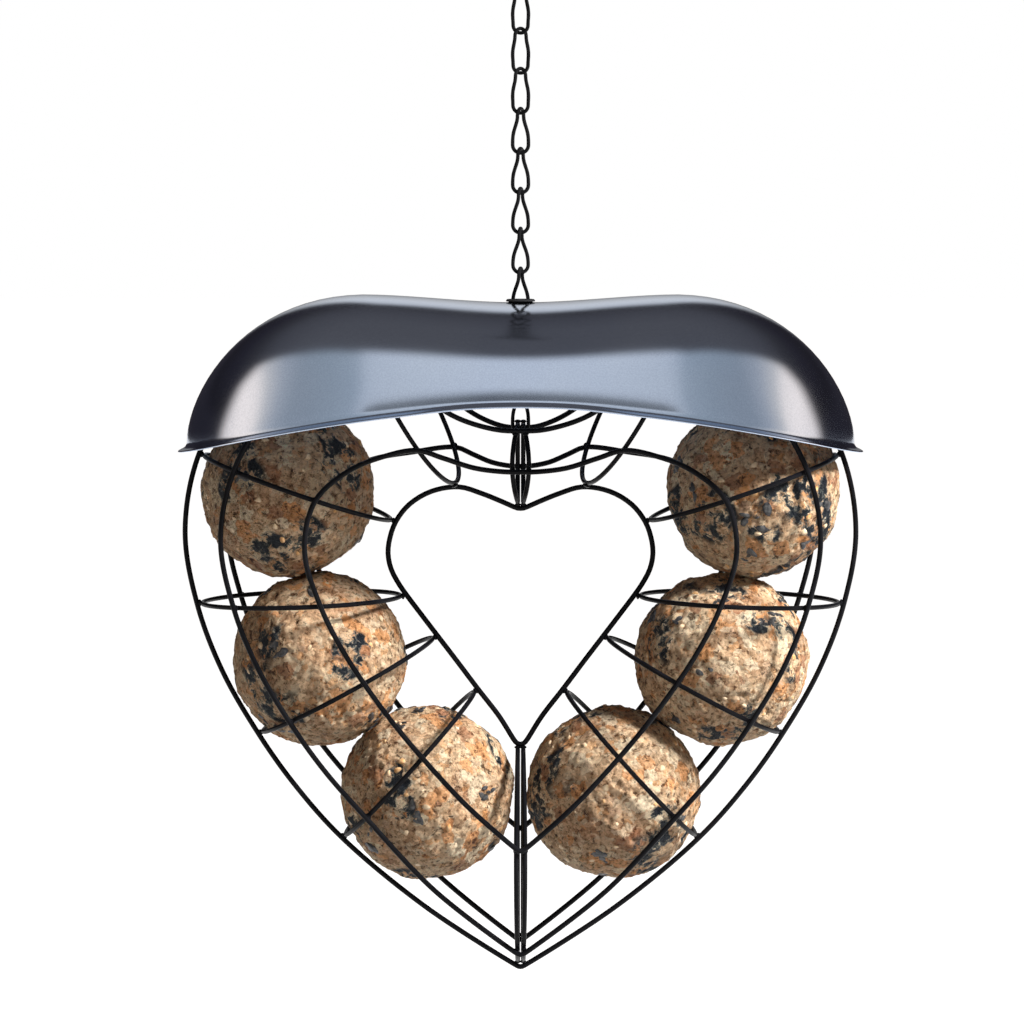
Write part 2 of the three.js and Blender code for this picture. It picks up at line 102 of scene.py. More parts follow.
LINKS = 11
LINK_WIRE = 0.75
LINK_WIDTH = 7.8
LINK_LENGTH = 19.2
LINK_TWIST = 65.0
LINK_TURNS = [-20, -20, -15, 2, 5, 10, 15, 12, 8, 4, 0]

HOOK_WIRE = 1.25
HOOK_EYE = 4.5
HOOK_TOP = 9.0
HOOK_RISE = 12.0
HOOK_EYE_END = 70.0
HOOK_TIP_END = 225.0
HOOK_TURN = -30.0

ROOF_SHEET = 1.0
ROOF_HALF_LENGTH = 133.5
ROOF_RIDGE_HALF = 60.0
ROOF_HALF_DEPTH = 60.0
ROOF_RIDGE_RISE = 1.6
ROOF_HUMP_RISE = 3.2
ROOF_HUMP_PLACE = ROOF_RIDGE_HALF * 1.117
ROOF_DROP = 59.0
ROOF_ARCH = 20.0
ROOF_ARCH_POWER = 1.9
ROOF_FULLNESS_POWER = 2.2
ROOF_SHOULDER_POWER = 1.7

GROMMET_PLAY = 0.35
GROMMET_WALL = 0.6
GROMMET_FLANGE = 0.7
GROMMET_HEIGHT = 0.9
GROMMET_TOP_GAP = 0.45

# How finely the scene's own pieces are drawn
WIRE_SIDES = 12
HOOK_SIDES = 16
WIRE_STEP = 2.4
CAP_DEGREES = (25, 50, 72)
RING_STEPS = 96
LINK_BEND_STEPS = 14
LINK_SHANK_STEPS = 16
HOOK_ARC_STEP = 6
ROOF_END_STEPS = 64
ROOF_SIDE_STEPS = 28
ROOF_RADIAL_STEPS = 30
GROMMET_STEPS = 64
BALL_DIVISIONS = 6
SMALL_DIVISIONS = 2


def at(x, z, y=0.0):
    """A point from its place across, its height and its depth."""
    return Vector((x, y, z))


DEPTH = at(0, 0, 1)


def mirrored(p):
    return at(-p.x, p.z, p.y)


def lerp(a, b, t):
    return a + (b - a) * t


def eased(share):
    share = min(max(share, 0), 1)
    return share * share * (3 - 2 * share)


# ---------------------------------------------------------------- the cage's centre lines

STATION_TABLE = [
    # x, z, degrees down, width share, ring name, side lift, slack, tip share, turn share, tilt share
    (0.464, 0.998, -61.4, 1, "mouth_ring", 1, 0, 0, 1, 1),
    (0.672, 0.981, -50, 1, None, 0, 0, 0, 0.86, 0.5),
    (0.838, 0.931, -37, 1, None, 0, 0, 0, 0.46, 0.2),
    (0.94, 0.865, -19.1, 1, "ring_1", 0, 0, 0, 0, 0),
    (1, 0.741, -6.5, 0.982, None, 0, 0, 0, 0, 0),
    (0.857, 0.577, 2, 1.012, "ring_2", 0, 1, 0, 0, 0),
    (0.742, 0.499, 15.2, 1, None, 0, 0, 0, 0, 0),
    (0.626, 0.421, 28.6, 0.985, "ring_3", 0, 0, 0, 0, 0),
    (0.474, 0.319, 37.2, 0.985, None, 0, 0, 0, 0, 0),
    (0.323, 0.216, 47.8, 0.975, "ring_4", 0, 0, 0, 0, 0),
    (0.16, 0.108, 69, 0.99, None, 0, 0, 0.55, 0, 0),
]
# Further points of the window's wire, by the station that they follow, and its points at the cusp
WINDOW_EXTRAS = {3: [(0.985, 0.803)], 4: [(0.977, 0.68), (0.913, 0.618)]}
WINDOW_CUSP = [(0, 0.915), (0.143, 0.942), (0.294, 0.973)]
# The side wires' dip from the cusp to the mouth: shares of the way in x, z and y
SIDE_DIPS = [(0.16, 0.02, 0.1), (0.44, 0.2, 0.36), (0.74, 0.64, 0.7)]


def window_point(x, z):
    return at(-x * WINDOW_HALF_WIDTH, WINDOW_TIP + z * WINDOW_HEIGHT)


class Station:
    """One cross-section of the left half of the cage's tube, from the window outwards."""

    def __init__(self, x, z, down, across, name, lift, slack, tip_share, turn_share, tilt_share):
        turn = math.radians(down)
        tilt = math.radians(MOUTH_RING_TILT * tilt_share)
        self.name, self.lift, self.slack = name, lift, slack
        self.tip_share, self.turn_share = tip_share, turn_share
        self.inner = window_point(x, z)
        self.outward = at(-math.cos(turn), -math.sin(turn))
        self.along = DEPTH.cross(self.outward)
        self.deep = DEPTH * math.cos(tilt) + self.along * math.sin(tilt)
        self.half = TUBE_ACROSS * across / 2
        self.centre = self.inner + self.outward * self.half
        self.outer = self.inner + self.outward * 2 * self.half

    def wall(self, degrees, side, lift):
        turn = math.radians(degrees)
        reach = self.half + lift * self.lift
        return (self.centre + self.outward * (reach * math.cos(turn))
                + self.deep * (side * reach * math.sin(turn)))


stations = [Station(*row) for row in STATION_TABLE]
tip_bottom = WELD_PITCH + TIP_RING_LIFT
tip_top = WINDOW_TIP - WELD_PITCH
tip_centre = (tip_bottom + tip_top) / 2
tip_half = (tip_top - tip_bottom) / 2
cusp_centre = window_point(*WINDOW_CUSP[0]).z + WELD_PITCH + CUSP_LIFT + CUSP_RING
link_bend = LINK_WIDTH / 2 - LINK_WIRE
link_pitch = LINK_LENGTH - 4 * LINK_WIRE - WELD_GAP
last_link_bottom = cusp_centre + CUSP_RING - link_bend
link_centres = [last_link_bottom + (LINKS - 1 - i) * link_pitch + LINK_LENGTH / 2 - LINK_WIRE
                for i in range(LINKS)]
hook_bottom = link_centres[0] + LINK_LENGTH / 2 - 2 * LINK_WIRE - HOOK_WIRE - WELD_GAP
hook_eye = at(0, hook_bottom + HOOK_EYE)
hook_top = at(0, hook_eye.z + HOOK_EYE + HOOK_RISE + HOOK_TOP)
bearing_height = hook_top.z + HOOK_TOP - HOOK_WIRE
roof_top = stations[0].outer.z + HEART_WIRE + WELD_GAP + ROOF_SHEET + ROOF_RIDGE_RISE
roof_hole = LINK_WIDTH / 2 + GROMMET_PLAY + GROMMET_WALL + WELD_GAP


def to_metres(p):
    """The frame's metres, which start where the hook bears on what holds it."""
    return Vector((p.x, p.y, p.z - bearing_height)) * MM


def smooth(guides, closed):
    """Points on the centripetal Catmull-Rom curve through the guides, with steps of about one length."""
    count = len(guides)

    def guide(i):
        if closed:
            return guides[i % count]
        if i < 0:
            return guides[0] * 2 - guides[1]
        if i >= count:
            return guides[-1] * 2 - guides[-2]
        return guides[i]

    points = []
    for i in range(count if closed else count - 1):
        p0, p1, p2, p3 = (guide(i + k) for k in (-1, 0, 1, 2))
        d1 = max((p2 - p1).length_squared ** 0.25, 1e-4)
        d0 = (p1 - p0).length_squared ** 0.25 or d1
        d2 = (p3 - p2).length_squared ** 0.25 or d1
        t1 = ((p1 - p0) / d0 - (p2 - p0) / (d0 + d1) + (p2 - p1) / d1) * d1
        t2 = ((p2 - p1) / d1 - (p3 - p1) / (d1 + d2) + (p3 - p2) / d2) * d1
        c2 = (p2 - p1) * 3 - t1 * 2 - t2
        c3 = (p1 - p2) * 2 + t1 + t2
        steps = max(1, round((p2 - p1).length / WIRE_STEP))
        points.extend(p1 + t1 * u + c2 * (u * u) + c3 * (u ** 3) for u in (k / steps for k in range(steps)))
    if not closed:
        points.append(guides[-1].copy())
    return points


def corner_points(corner, after, radius):
    """Two guides that round off a wire's corner on the middle plane."""
    slope = math.atan2(after.z - corner.z, corner.x - after.x)
    return [at(-radius * math.sin(slope * s), corner.z + radius * (1 - math.cos(slope * s)), corner.y)
            for s in (0.5, 1)]


def closed_by_mirror(left):
    return left + [mirrored(p) for p in reversed(left[1:-1])]


def tip_point(degrees, side, clearance):
    turn = math.radians(degrees)
    return at(0, tip_centre - (tip_half + WELD_PITCH + clearance) * math.cos(turn),
              side * (TIP_RING_DEPTH + WELD_PITCH) * math.sin(turn))


def cusp_point(degrees, side):
    turn = math.radians(degrees)
    reach = CUSP_RING + WELD_PITCH
    return at(0, cusp_centre + reach * math.cos(turn), side * reach * math.sin(turn))


def window_wire():
    guides = [window_point(*p) for p in WINDOW_CUSP]
    guides.insert(1, corner_points(guides[0], guides[1], WINDOW_CUSP_RADIUS)[0])
    for i, station in enumerate(stations):
        guides.append(station.inner)
        guides.extend(window_point(*p) for p in WINDOW_EXTRAS.get(i, []))
    corner = at(0, WINDOW_TIP)
    guides.extend(reversed(corner_points(corner, guides[-1], TIP_CORNER)))
    guides.append(corner)
    return smooth(closed_by_mirror(guides), True)


def outer_wire():
    left = [station.outer for station in stations]
    left.insert(0, left[0] + stations[0].along * MOUTH_OVERRUN)
    corner = at(0, 0)
    left.extend(reversed(corner_points(corner, left[-1], TIP_CORNER)))
    return smooth(left + [corner] + [mirrored(p) for p in reversed(left)], False)


def side_wire(side, wall_angle, mouth_turn, cusp_angle, tip_angle, tip_clearance, mouth_lift):
    top = cusp_point(cusp_angle, side)
    bottom = tip_point(tip_angle, side, tip_clearance)
    wall = [s.wall(lerp(wall_angle + mouth_turn * s.turn_share, tip_angle, s.tip_share), side, mouth_lift)
            for s in stations]
    dips = [at(x * wall[0].x, lerp(top.z, wall[0].z, z), lerp(top.y, wall[0].y, y)) for x, z, y in SIDE_DIPS]
    rounding = list(reversed(corner_points(bottom, wall[-1], TIP_CORNER)))
    return smooth(closed_by_mirror([top] + dips + wall + rounding + [bottom]), True)


# ---------------------------------------------------------------- meshes

def add_object(name, mesh, materials, smooth_shade=True):
    for mat in materials:
        mesh.materials.append(mat)
    if smooth_shade:
        mesh.polygons.foreach_set("use_smooth", [True] * len(mesh.polygons))
    obj = bpy.data.objects.new(name, mesh)
    scene.collection.objects.link(obj)
    return obj


def object_from_lists(name, vertices, faces, mat, smooth_shade=True):
    mesh = bpy.data.meshes.new(name)
    mesh.from_pydata([tuple(v) for v in vertices], [], faces)
    mesh.update()
    return add_object(name, mesh, [mat], smooth_shade)


def object_from_bmesh(name, made, *materials):
    mesh = bpy.data.meshes.new(name)
    made.to_mesh(mesh)
    made.free()
    return add_object(name, mesh, materials)


def row_faces(rows, sides, closed=True, flipped=False):
    """Quads between each row of vertices and the next. Every row is a loop, and so are the rows if closed."""
    faces = []
    for i in range(rows if closed else rows - 1):
        a, b = i * sides, ((i + 1) % rows) * sides
        for j in range(sides):
            k = (j + 1) % sides
            faces.append((a + j, b + j, b + k, a + k) if flipped else (a + j, a + k, b + k, b + j))
    return faces


def tube(points, radius, face_of, closed, sides):
    """Vertices and faces of a round wire. face_of(i) is the normal of the plane that the wire bends in."""
    count = len(points)
    rings = []
    for i, p in enumerate(points):
        before = points[(i - 1) % count] if closed else points[max(i - 1, 0)]
        after = points[(i + 1) % count] if closed else points[min(i + 1, count - 1)]
        tangent = (after - before).normalized()
        rings.append((p, tangent, face_of(i).cross(tangent).normalized(), radius))
    if not closed:
        caps = [(radius * math.sin(a), radius * math.cos(a)) for a in map(math.radians, CAP_DEGREES)]
        head, head_tangent, head_across, _ = rings[0]
        tail, tail_tangent, tail_across, _ = rings[-1]
        front = [(head - head_tangent * out, head_tangent, head_across, r) for out, r in reversed(caps)]
        back = [(tail + tail_tangent * out, tail_tangent, tail_across, r) for out, r in caps]
        rings = front + rings + back
    vertices = []
    for p, tangent, across, r in rings:
        up = tangent.cross(across)
        for j in range(sides):
            turn = 2 * math.pi * j / sides
            vertices.append(p + across * (r * math.cos(turn)) + up * (r * math.sin(turn)))
    faces = row_faces(len(rings), sides, closed)
    if not closed:
        faces.append(tuple(reversed(range(sides))))
        faces.append(tuple(range((len(rings) - 1) * sides, len(rings) * sides)))
    return vertices, faces


def add_wire(name, points, radius, face_of, mat, body, replaced, closed=True, sides=WIRE_SIDES):
    vertices, faces = tube(points, radius, face_of, closed, sides)
    obj = object_from_lists(name, [to_metres(v) for v in vertices], faces, mat)
    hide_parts(replaced)
    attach(obj, body)


def flat(normal):
    """The face_of of a wire that bends in one plane."""
    return lambda _: normal


# ---------------------------------------------------------------- materials

NOISE = "ShaderNodeTexNoise"
VORONOI = "ShaderNodeTexVoronoi"
# The mix node's sockets for colours
MIX_FACTOR, MIX_A, MIX_B, MIX_RESULT = 0, 6, 7, 2


def opaque(colour):
    """A colour with its alpha, from a red, green and blue, or from one number for a grey."""
    return (*colour, 1) if isinstance(colour, tuple) else (colour, colour, colour, 1)


def feed(tree, socket, value):
    """Link a socket's source, or set its number or colour."""
    if isinstance(value, bpy.types.NodeSocket):
        tree.links.new(value, socket)
    else:
        socket.default_value = opaque(value) if isinstance(value, tuple) else value


def material(name, colour, roughness, metallic=0.0, specular=0.5):
    mat = bpy.data.materials.new(name)
    mat.use_nodes = True
    shader = mat.node_tree.nodes["Principled BSDF"]
    shader.inputs["Base Color"].default_value = opaque(colour)
    shader.inputs["Roughness"].default_value = roughness
    shader.inputs["Metallic"].default_value = metallic
    shader.inputs["Specular IOR Level"].default_value = specular
    return mat, mat.node_tree, shader


def node(tree, kind, **settings):
    made = tree.nodes.new(kind)
    for key, value in settings.items():
        if key in made.inputs:
            made.inputs[key].default_value = value
        else:
            setattr(made, key, value)
    return made


def arithmetic(tree, operation, *values):
    made = node(tree, "ShaderNodeMath", operation=operation)
    for socket, value in zip(made.inputs, values):
        feed(tree, socket, value)
    return made.outputs[0]


def ramp(tree, source, stops, interpolation="LINEAR"):
    made = tree.nodes.new("ShaderNodeValToRGB")
    made.color_ramp.interpolation = interpolation
    elements = made.color_ramp.elements
    while len(elements) < len(stops):
        elements.new(0.5)
    for element, (place, colour) in zip(elements, stops):
        element.position = place
        element.color = opaque(colour)
    tree.links.new(source, made.inputs["Fac"])
    return made.outputs["Color"]


def object_place(tree):
    return tree.nodes.new("ShaderNodeTexCoord").outputs["Object"]


def texture(tree, vector, kind, scale, **settings):
    """A texture's outputs. Its scale is in features per metre."""
    made = node(tree, kind, Scale=scale, **settings)
    tree.links.new(vector, made.inputs["Vector"])
    return made.outputs


def noise_texture(tree, vector, scale, detail, roughness=0.5):
    return texture(tree, vector, NOISE, scale, Detail=detail, Roughness=roughness)["Fac"]


def mix(tree, factor, a, b, blend="MIX"):
    made = node(tree, "ShaderNodeMix", data_type="RGBA", blend_type=blend)
    for index, value in ((MIX_FACTOR, factor), (MIX_A, a), (MIX_B, b)):
        feed(tree, made.inputs[index], value)
    return made.outputs[MIX_RESULT]


def channel(tree, colour, index):
    split = tree.nodes.new("ShaderNodeSeparateColor")
    tree.links.new(colour, split.inputs[0])
    return split.outputs[index]


def bump(tree, shader, height, strength, distance, after=None):
    """Bump for the shader, over an earlier bump if one is given. The distance is in metres."""
    made = node(tree, "ShaderNodeBump", Strength=strength, Distance=distance)
    tree.links.new(height, made.inputs["Height"])
    if after is not None:
        tree.links.new(after, made.inputs["Normal"])
    tree.links.new(made.outputs["Normal"], shader.inputs["Normal"])
    return made.outputs["Normal"]


def coated_wire(name, colour, roughness, grain):
    """Powder-coated wire: nearly black, with a slight orange-peel and a duller patch here and there."""
    mat, tree, shader = material(name, colour, roughness, specular=0.06)
    place = object_place(tree)
    peel = noise_texture(tree, place, grain, 3.0)
    patches = noise_texture(tree, place, 60, 2.0)
    dull = ramp(tree, patches, [(0.35, roughness * 0.85), (0.7, min(roughness * 1.5, 0.7))])
    tree.links.new(dull, shader.inputs["Roughness"])
    lighter = tuple(c * 1.7 + 0.003 for c in colour)
    tree.links.new(ramp(tree, patches, [(0.4, colour), (0.75, lighter)]), shader.inputs["Base Color"])
    bump(tree, shader, peel, 0.08, 0.0001)
    return mat


def pewter_paint():
    """Metallic pewter enamel on pressed steel: blue-grey, with a fine flake and faintly cloudy."""
    mat, tree, shader = material("pewter_paint", (0.45, 0.52, 0.64), 0.15, 1.0)
    place = object_place(tree)
    flake = noise_texture(tree, place, 1500, 2.0)
    cloud = noise_texture(tree, place, 18, 2.0)
    tone = ramp(tree, flake, [(0.3, (0.425, 0.49, 0.61)), (0.7, (0.475, 0.545, 0.67))])
    shade = ramp(tree, cloud, [(0.3, (0.93, 0.94, 0.97)), (0.7, (1.04, 1.03, 1.02))])
    tree.links.new(mix(tree, 1.0, tone, shade, "MULTIPLY"), shader.inputs["Base Color"])
    tree.links.new(ramp(tree, cloud, [(0.3, 0.13), (0.7, 0.175)]), shader.inputs["Roughness"])
    bump(tree, shader, flake, 0.03, 0.00004)
    return mat


# How far each ball's textures are moved from the last one's, and how far noise bends them, in metres
SUET_SHIFT = (0.37, 0.19, 0.23)
SUET_TEAR = (0.005, 0.005, 0.005)


def suet(name, seed):
    """Pressed suet: pale tan fat full of cream, orange and brown flakes, with clusters of black husk, and
    painted shade in its pits and crumb hollows with painted highlight on the crumbs' tops.
    """
    mat, tree, shader = material(name, (0.6, 0.42, 0.26), 0.7, specular=0.3)
    shifted = node(tree, "ShaderNodeVectorMath", operation="ADD")
    shifted.inputs[1].default_value = [seed * c for c in SUET_SHIFT]
    tree.links.new(object_place(tree), shifted.inputs[0])
    whole = shifted.outputs[0]
    bent = node(tree, "ShaderNodeVectorMath", operation="MULTIPLY_ADD")
    tree.links.new(texture(tree, whole, NOISE, 330, Detail=3.0)["Color"], bent.inputs[0])
    bent.inputs[1].default_value = SUET_TEAR
    tree.links.new(whole, bent.inputs[2])
    torn = bent.outputs[0]

    flakes = texture(tree, torn, VORONOI, 380)["Color"]
    chunks = texture(tree, torn, VORONOI, 175)["Color"]
    crumbs = noise_texture(tree, whole, 480, 6.0, 0.68)
    broad = noise_texture(tree, whole, 46, 4.0)
    pits = noise_texture(tree, torn, 270, 6.0, 0.66)
    cluster = noise_texture(tree, whole, 40, 1.0)
    chips = noise_texture(tree, torn, 150, 5.0, 0.65)
    lumps = noise_texture(tree, torn, 190, 3.0)

    fat = ramp(tree, broad, [
        (0.32, (0.6, 0.35, 0.2)), (0.47, (0.8, 0.55, 0.34)), (0.66, (0.93, 0.72, 0.48))])
    grains = ramp(tree, channel(tree, flakes, 0), [
        (0.0, (0.25, 0.11, 0.055)), (0.07, (0.5, 0.26, 0.14)), (0.18, (0.76, 0.49, 0.3)),
        (0.45, (0.9, 0.67, 0.45)), (0.7, (0.98, 0.83, 0.62)), (0.86, (0.82, 0.38, 0.14)),
        (0.94, (0.7, 0.48, 0.34))], "CONSTANT")
    colour = mix(tree, 0.45, fat, grains)
    bold = ramp(tree, channel(tree, chunks, 1), [
        (0.0, (0.4, 0.16, 0.08)), (0.25, (0.82, 0.36, 0.13)), (0.7, (0.98, 0.84, 0.62))], "CONSTANT")
    rare = ramp(tree, channel(tree, chunks, 2), [(0.0, 0.0), (0.76, 0.65)], "CONSTANT")
    colour = mix(tree, rare, colour, bold)
    # Painted shade and highlight: the colour darkens in the crumbs' hollows and lightens on their tops, where
    # the fine bump is low and high
    crumb_painted_shade_and_highlight = ramp(tree, crumbs, [
        (0.35, (0.18, 0.1, 0.065)), (0.43, (0.78, 0.71, 0.64)), (0.51, (1.04, 1.03, 1.0)),
        (0.64, (1.25, 1.24, 1.2))])
    colour = mix(tree, 0.9, colour, crumb_painted_shade_and_highlight, "MULTIPLY")
    # Painted shade: the colour darkens in the pits, where the coarse bump is low
    pit_painted_shade = ramp(tree, pits, [(0.36, (0.1, 0.055, 0.03)), (0.425, (1.0, 1.0, 1.0))])
    colour = mix(tree, 0.9, colour, pit_painted_shade, "MULTIPLY")
    where = ramp(tree, cluster, [(0.55, 0.0), (0.585, 1.0)])
    which = ramp(tree, chips, [(0.49, 0.0), (0.53, 1.0)])
    husk = ramp(tree, chips, [(0.5, (0.24, 0.25, 0.22)), (0.57, (0.016, 0.02, 0.026))])
    colour = mix(tree, mix(tree, 1.0, where, which, "MULTIPLY"), colour, husk)
    tree.links.new(colour, shader.inputs["Base Color"])

    tree.links.new(ramp(tree, crumbs, [(0.35, 0.85), (0.65, 0.55)]), shader.inputs["Roughness"])
    large = bump(tree, shader, lumps, 1.0, 0.006)
    coarse = bump(tree, shader, pits, 1.0, 0.006, large)
    bump(tree, shader, crumbs, 1.0, 0.0026, coarse)
    return mat


def seed_hull(name, colour, streak):
    mat, tree, shader = material(name, colour, 0.45, specular=0.4)
    streaks = noise_texture(tree, object_place(tree), 700, 3.0)
    tree.links.new(ramp(tree, streaks, [(0.4, colour), (0.7, streak)]), shader.inputs["Base Color"])
    bump(tree, shader, streaks, 0.4, 0.0003)
    return mat


def rubber():
    mat, tree, shader = material("black_rubber", (0.014, 0.014, 0.015), 0.6, specular=0.35)
    pores = noise_texture(tree, object_place(tree), 1500, 2.0)
    tree.links.new(ramp(tree, pores, [(0.3, 0.5), (0.7, 0.72)]), shader.inputs["Roughness"])
    bump(tree, shader, pores, 0.2, 0.0001)
    return mat


black_wire = coated_wire("black_wire", (0.0035, 0.0035, 0.0045), 0.3, 900)
black_chain = coated_wire("black_chain", (0.0035, 0.0035, 0.004), 0.34, 1400)
roof_paint = pewter_paint()
rubber_black = rubber()
seed_black = seed_hull("seed_black", (0.012, 0.012, 0.014), (0.09, 0.088, 0.085))
seed_grain = seed_hull("seed_grain", (0.52, 0.27, 0.1), (0.7, 0.48, 0.27))
seed_oat = seed_hull("seed_oat", (0.6, 0.43, 0.26), (0.72, 0.57, 0.39))

# ---------------------------------------------------------------- cage wires, rings and welds

# The weld beads: their height over the wire and length along it, and how much they differ
BEAD_HEIGHT, BEAD_LENGTH = 0.75, 1.35
BEAD_SIZE_SPREAD = 0.12
BEAD_LUMPS = 0.08

weld_spots = []


def add_cage_wire(name, points, replaced, closed=True):
    add_wire(name, points, HEART_WIRE, flat(DEPTH), black_wire, "feeder", replaced, closed)


def add_ring(name, centre, outward, deep, half, depth_half, bow, spots, skew=0.0):
    """An oval ring, bowed at its front. Its spots, in degrees from outward, are where wires are welded on."""
    face = outward.cross(deep).normalized()

    def point(degrees):
        turn = math.radians(degrees)
        return (centre + outward * (half * math.cos(turn)) + deep * (depth_half * math.sin(turn))
                + at(bow * min(math.sin(turn), 0) ** 2, 0))

    points = [point(360 * i / RING_STEPS) for i in range(RING_STEPS)]
    add_wire(name + "_wire", points, RING_WIRE, flat(face), black_wire, "feeder", name)
    for degrees in spots:
        for side in ((1, -1) if degrees % 180 else (1,)):
            degrees_here = side * (degrees + (side * skew if degrees > 90 else 0))
            turn = math.radians(degrees_here)
            radial = outward * (math.cos(turn) / half) + deep * (math.sin(turn) / depth_half)
            weld_spots.append((point(degrees_here), radial.normalized(), face))


def add_side_rings(hand, sign):
    """The rings of one half of the tube, which are the left half's own or their mirror image."""
    for station in stations:
        if station.name:
            slack = WAIST_RING_SLACK * station.slack
            frame = (station.centre + station.outward * slack, station.outward, station.deep)
            centre, outward, deep = frame if sign < 0 else (mirrored(p) for p in frame)
            radius = station.half - WELD_PITCH - slack
            inner_side = INNER_SIDE + MOUTH_INNER_TURN * station.turn_share
            add_ring(f"{hand}_{station.name}", centre, outward, deep, radius, radius, 0.0,
                     (0, OUTER_SIDE, inner_side, 180), MOUTH_INNER_SKEW * station.turn_share)


def add_middle_rings(hand, sign):
    """One of the pair of rings at the tip and of the pair at the cusp."""
    pitch = sign * (RING_WIRE + WELD_GAP / 2)
    add_ring(f"{hand}_tip_ring", at(pitch, tip_centre), at(0, -1), DEPTH, tip_half, TIP_RING_DEPTH,
             sign * TIP_RING_BOW, (0, TIP_OUTER_SIDE, TIP_INNER_SIDE, 180))
    add_ring(f"{hand}_cusp_ring", at(pitch, cusp_centre), at(0, 1), DEPTH, CUSP_RING, CUSP_RING,
             sign * CUSP_RING_BOW, (0, CUSP_OUTER_SIDE, CUSP_INNER_SIDE, 180))


def add_welds():
    """A small smooth bead of weld metal under the coating, between each ring and the wire outside it."""
    made = bmesh.new()
    for i, (p, radial, face) in enumerate(weld_spots):
        middle = p + radial * (RING_WIRE + WELD_GAP / 2)
        along = radial.cross(face).normalized()
        size = 1.0 + BEAD_SIZE_SPREAD * math.sin(i * 2.7)
        grown = bmesh.ops.create_icosphere(made, subdivisions=SMALL_DIVISIONS, radius=1.0)
        for v in grown["verts"]:
            local = v.co.copy()
            lump = 1.0 + BEAD_LUMPS * noise.noise(local * 1.4 + Vector((i, 0, 0)))
            spot = (middle + radial * (local.x * BEAD_HEIGHT * lump)
                    + along * (local.y * BEAD_LENGTH * size * lump)
                    + face * (local.z * BEAD_LENGTH * size * lump))
            v.co = to_metres(spot)
    obj = object_from_bmesh("welds", made, black_wire)
    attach(obj, "feeder")


add_cage_wire("outer_heart", outer_wire(), "outer_heart_wire", False)
add_cage_wire("window_heart", window_wire(), "window_heart_wire")
for face, side in (("front", -1), ("back", 1)):
    outer_side = side_wire(side, OUTER_SIDE, 0, CUSP_OUTER_SIDE, TIP_OUTER_SIDE, SIDE_TIP_CLEARANCE,
                           MOUTH_SIDE_LIFT)
    inner_side = side_wire(side, INNER_SIDE, MOUTH_INNER_TURN + side * MOUTH_INNER_SKEW, CUSP_INNER_SIDE,
                           TIP_INNER_SIDE, 0.0, 0.0)
    add_cage_wire(f"{face}_outer_side", outer_side, f"{face}_outer_side_wire")
    add_cage_wire(f"{face}_inner_side", inner_side, f"{face}_inner_side_wire")
for hand, sign in (("left", -1), ("right", 1)):
    add_side_rings(hand, sign)
    add_middle_rings(hand, sign)
add_welds()

# ---------------------------------------------------------------- chain and hook


def link_path(index):
    """Centre line of a twisted link, with the normal of the plane that it bends in at each point."""
    shank = LINK_LENGTH / 2 - LINK_WIRE - link_bend
    half = [(link_bend * math.cos(math.pi * i / LINK_BEND_STEPS),
             shank + link_bend * math.sin(math.pi * i / LINK_BEND_STEPS)) for i in range(LINK_BEND_STEPS + 1)]
    half += [(-link_bend, shank * (1 - 2 * i / LINK_SHANK_STEPS)) for i in range(1, LINK_SHANK_STEPS)]
    points, faces = [], []
    for x, z in half + [(-x, -z) for x, z in half]:
        turn = math.radians(LINK_TURNS[index] + LINK_TWIST * eased((z + shank) / (2 * shank)))
        points.append(at(x * math.cos(turn), z + link_centres[index], x * math.sin(turn)))
        faces.append(at(-math.sin(turn), 0, math.cos(turn)))
    return points, faces


def hook_path():
    """Centre line of the S-hook: round the eye, up the slanting shank and round the top."""
    crossing = math.degrees(math.asin((HOOK_EYE + HOOK_TOP) / (hook_top.z - hook_eye.z)))

    def arc(centre, radius, start, end):
        steps = math.ceil(abs(end - start) / HOOK_ARC_STEP)
        turns = [math.radians(lerp(start, end, i / steps)) for i in range(steps + 1)]
        return [at(centre.x + radius * math.cos(turn), centre.z + radius * math.sin(turn)) for turn in turns]

    path = (arc(hook_eye, HOOK_EYE, HOOK_EYE_END, -180 - crossing)
            + arc(hook_top, HOOK_TOP, -crossing, HOOK_TIP_END))
    turn = math.radians(HOOK_TURN)
    return [at(p.x * math.cos(turn), p.z, p.x * math.sin(turn)) for p in path]


bodies = ["first_link", "second_link"] + ["feeder"] * (LINKS - 2)
for index, body in enumerate(bodies):
    points, faces = link_path(index)
    add_wire(f"link_{index + 1:02d}", points, LINK_WIRE, lambda i: faces[i], black_chain, body,
             f"chain_link_{index + 1:02d}")

hook_face = at(-math.sin(math.radians(HOOK_TURN)), 0, math.cos(math.radians(HOOK_TURN)))
add_wire("hook", hook_path(), HOOK_WIRE, flat(hook_face), black_chain, "hanging_hook", "hanging_hook",
         False, HOOK_SIDES)

# ---------------------------------------------------------------- roof and grommet

# The lip, as steps out and down from the rim: over the lip, round its edge, and back under the sheet
FLARED_LIP = [
    (0.03, -0.5), (0.14, -0.98), (0.4, -1.5), (0.85, -2.0), (1.45, -2.42), (2.15, -2.8), (2.85, -3.14),
    (3.3, -3.4), (3.5, -3.7), (3.36, -3.95), (2.95, -3.98), (2.2, -3.74), (1.35, -3.34), (0.6, -2.85),
    (-0.05, -2.25), (-0.55, -1.5), (-0.85, -0.75)]
# The same at the middle of the front and back, where the lip hangs steeper
STEEP_LIP = [
    (0.04, -0.35), (0.15, -0.65), (0.33, -0.92), (0.6, -1.17), (0.94, -1.45), (1.3, -1.75), (1.68, -2.07),
    (2.08, -2.42), (2.42, -2.72), (2.55, -2.98), (2.42, -3.18), (2.02, -3.12), (1.45, -2.78), (0.8, -2.32),
    (0.2, -1.85), (-0.35, -1.25), (-0.78, -0.65)]
FLARE_START, FLARE_SPAN = 15, 35


